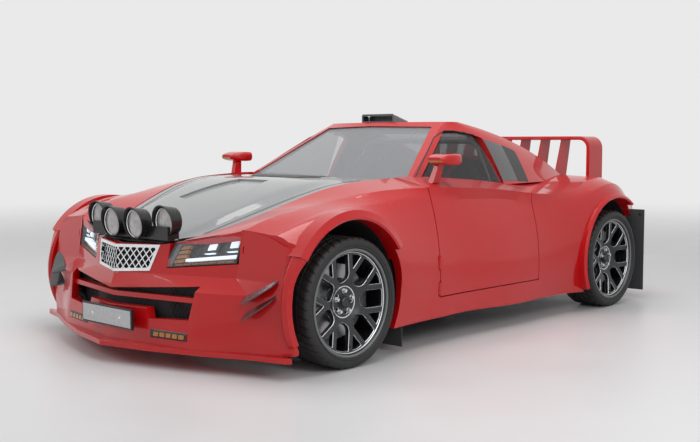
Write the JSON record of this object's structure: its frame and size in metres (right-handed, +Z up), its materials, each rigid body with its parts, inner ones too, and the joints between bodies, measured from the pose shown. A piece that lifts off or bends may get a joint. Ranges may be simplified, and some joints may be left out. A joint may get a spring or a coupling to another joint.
{
  "type": "rally car",
  "caption": "Two-door rally coupe with wide arches, lamp bar on a carbon bonnet, hoop wing, opening doors and bonnet, steered front wheels and rolling wheels.",
  "frame": {"origin": "on the ground at the centre of the bounding box", "axes": "+Z up, -Y towards the nose, +X towards the car's left"},
  "size_m": [2.2, 3.947, 1.2929],
  "materials": {
    "paint": "gloss",
    "carbon": "satin",
    "black_trim": "gloss",
    "glass": "gloss",
    "bright": "polished",
    "lamp": "gloss",
    "rim": "gloss",
    "tyre": "matte",
    "flap": "matte",
    "steel": "satin",
    "pipe": "satin",
    "cloth": "matte",
    "dash": "matte"
  },
  "bodies": {
    "car_body": {"floor_tub": "steel", "engine_block": "steel", "cabin_shell": "paint", "roof_scoop": "carbon", "windscreen": "glass", "rear_window": "glass", "front_bumper": "paint", "front_splitter": "paint", "grille": "bright", "rear_deck": "carbon", "tail_panel": "paint", "exhaust": "pipe", "rear_wing": "paint", "dashboard": "dash", "roll_cage": "pipe", "rear_axle": "steel", "rear_quarter_left": "paint", "headlamp_left": "lamp", "front_fender_left": "paint", "canard_left": "carbon", "front_flap_left": "flap", "rear_flap_left": "flap", "seat_left": "cloth", "rear_quarter_right": "paint", "headlamp_right": "lamp", "front_fender_right": "paint", "canard_right": "carbon", "front_flap_right": "flap", "rear_flap_right": "flap", "seat_right": "cloth"},
    "left_door": {"door_left": "paint", "door_glass_left": "glass"},
    "left_knuckle": {"knuckle_left": "steel"},
    "front_left_wheel": {"tyre_front_left": "tyre", "rim_front_left": "rim"},
    "rear_left_wheel": {"tyre_rear_left": "tyre", "rim_rear_left": "rim"},
    "right_door": {"door_right": "paint", "door_glass_right": "glass"},
    "right_knuckle": {"knuckle_right": "steel"},
    "front_right_wheel": {"tyre_front_right": "tyre", "rim_front_right": "rim"},
    "rear_right_wheel": {"tyre_rear_right": "tyre", "rim_rear_right": "rim"},
    "bonnet_lid": {"bonnet": "carbon", "lamp_bar": "black_trim"},
    "hand_wheel": {"steering_wheel": "dash"}
  },
  "joints": [
    {"name": "steer_left", "type": "hinge", "parent": "car_body", "child": "left_knuckle", "pos_m": [0.855, -1.2255, 0.325], "axis": [0, 0, 1], "range_deg": [-25, 25]},
    {"name": "spin_front_left", "type": "hinge", "parent": "left_knuckle", "child": "front_left_wheel", "pos_m": [0.948, -1.2255, 0.325], "axis": [1, 0, 0], "continuous": true},
    {"name": "spin_rear_left", "type": "hinge", "parent": "car_body", "child": "rear_left_wheel", "pos_m": [0.948, 1.3645, 0.325], "axis": [1, 0, 0], "continuous": true},
    {"name": "door_left_hinge", "type": "hinge", "parent": "car_body", "child": "left_door", "pos_m": [1.013, -0.4735, 0.55], "axis": [0, 0, -1], "range_deg": [0, 60]},
    {"name": "steer_right", "type": "hinge", "parent": "car_body", "child": "right_knuckle", "pos_m": [-0.855, -1.2255, 0.325], "axis": [0, 0, 1], "range_deg": [-25, 25]},
    {"name": "spin_front_right", "type": "hinge", "parent": "right_knuckle", "child": "front_right_wheel", "pos_m": [-0.948, -1.2255, 0.325], "axis": [1, 0, 0], "continuous": true},
    {"name": "spin_rear_right", "type": "hinge", "parent": "car_body", "child": "rear_right_wheel", "pos_m": [-0.948, 1.3645, 0.325], "axis": [1, 0, 0], "continuous": true},
    {"name": "door_right_hinge", "type": "hinge", "parent": "car_body", "child": "right_door", "pos_m": [-1.013, -0.4735, 0.55], "axis": [0, 0, 1], "range_deg": [0, 60]},
    {"name": "bonnet_hinge", "type": "hinge", "parent": "car_body", "child": "bonnet_lid", "pos_m": [0, -0.5575, 0.88], "axis": [-1, 0, 0], "range_deg": [0, 50]},
    {"name": "hand_wheel_turn", "type": "hinge", "parent": "car_body", "child": "hand_wheel", "pos_m": [0.365, -0.1155, 0.742], "axis": [0, 0.9272, 0.3746], "range_deg": [-275, 275]}
  ],
  "couplings": [
    {"joint": "steer_right", "follows": "steer_left", "ratio": 1},
    {"joint": "hand_wheel_turn", "follows": "steer_left", "ratio": 10.8}
  ]
}
